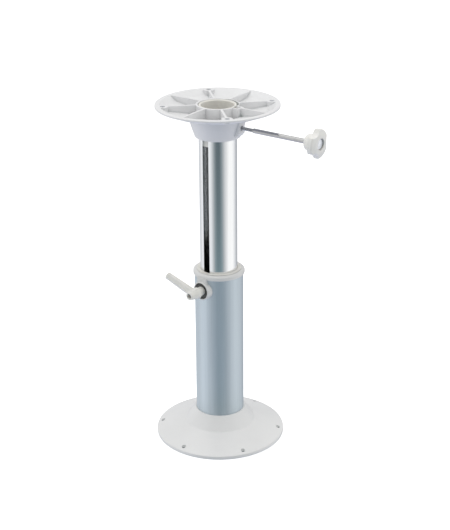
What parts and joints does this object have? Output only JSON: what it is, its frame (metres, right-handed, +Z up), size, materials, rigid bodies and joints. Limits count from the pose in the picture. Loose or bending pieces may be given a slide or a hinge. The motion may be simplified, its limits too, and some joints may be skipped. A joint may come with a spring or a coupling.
{
  "type": "telescopic swivel pedestal",
  "caption": "Free-standing telescopic pedestal: round base, sliding slotted column with lever clamp, and a ribbed swivel head plate locked by a rod with a lobed knob.",
  "frame": {"origin": "centre of the base's underside, on the surface that it stands on, on the column's centreline", "axes": "+Z up along the column, -Y towards the side between the clamp lever (at -131 degrees from +X) and the lock rod (at -37 degrees from +X)"},
  "size_m": [0.2889, 0.2553, 0.613],
  "materials": {
    "base_paint": "white powder coat, satin",
    "head_paint": "white powder coat, satin",
    "collar_paint": "white powder coat, satin",
    "outer_anodised": "satin anodised",
    "inner_anodised": "bright anodised",
    "anchor_metal": "sawn and turned",
    "nylon_cream": "cream nylon",
    "guide_nylon": "natural nylon",
    "lever_plastic": "off-white glass-filled nylon",
    "knob_plastic": "off-white moulded plastic",
    "stainless": "polished stainless",
    "fastener_steel": "zinc plated",
    "shoe_metal": "cast brass",
    "insert_brass": "turned brass",
    "cap_chrome": "bright",
    "black_oxide": "black oxide on steel",
    "black_nylon": "black nylon"
  },
  "bodies": {
    "base": {"base_plate": "base_paint", "tube_anchor": "anchor_metal", "anchor_screws": "fastener_steel", "outer_tube": "outer_anodised", "collar": "collar_paint", "collar_screws": "stainless", "collar_liner": "nylon_cream", "clamp_washer": "black_nylon"},
    "clamp_handle": {"clamp_lever": "lever_plastic", "clamp_stud": "fastener_steel", "lever_screw": "fastener_steel"},
    "clamp_nut": {"clamp_shoe": "shoe_metal"},
    "column": {"inner_tube": "inner_anodised", "lower_guide": "guide_nylon", "guide_screws": "fastener_steel", "swivel_bush": "nylon_cream"},
    "head": {"head_plate": "head_paint", "retaining_clip": "fastener_steel", "lock_nut": "black_oxide"},
    "lock_plug": {"lock_pad": "guide_nylon"},
    "lock_handle": {"lock_rod": "stainless", "knob_insert": "insert_brass", "lock_knob": "knob_plastic", "knob_cap": "cap_chrome"}
  },
  "joints": [
    {"name": "clamp_turn", "type": "hinge", "parent": "base", "child": "clamp_handle", "pos_m": [0, 0, 0.2895], "axis": [-0.6561, -0.7547, 0], "range_deg": [-90, 90]},
    {"name": "clamp_draw", "type": "slide", "parent": "base", "child": "clamp_nut", "axis": [-0.6561, -0.7547, 0], "range_m": [-0.00035, 0.00035]},
    {"name": "column_slide", "type": "slide", "parent": "base", "child": "column", "axis": [0, 0, 1], "range_m": [-0.2, 0.02]},
    {"name": "head_swivel", "type": "hinge", "parent": "column", "child": "head", "pos_m": [0, 0, 0.607], "axis": [0, 0, 1], "continuous": true},
    {"name": "lock_advance", "type": "slide", "parent": "head", "child": "lock_plug", "axis": [0.7986, -0.6018, 0], "range_m": [0, 0.0018]},
    {"name": "lock_turn", "type": "hinge", "parent": "lock_plug", "child": "lock_handle", "pos_m": [0, 0, 0.579], "axis": [0.7986, -0.6018, 0], "range_deg": [0, 630]}
  ],
  "couplings": [
    {"joint": "clamp_draw", "follows": "clamp_turn", "m_per_rad": -0.00019894},
    {"joint": "lock_advance", "follows": "lock_turn", "m_per_rad": 0.00015915}
  ]
}
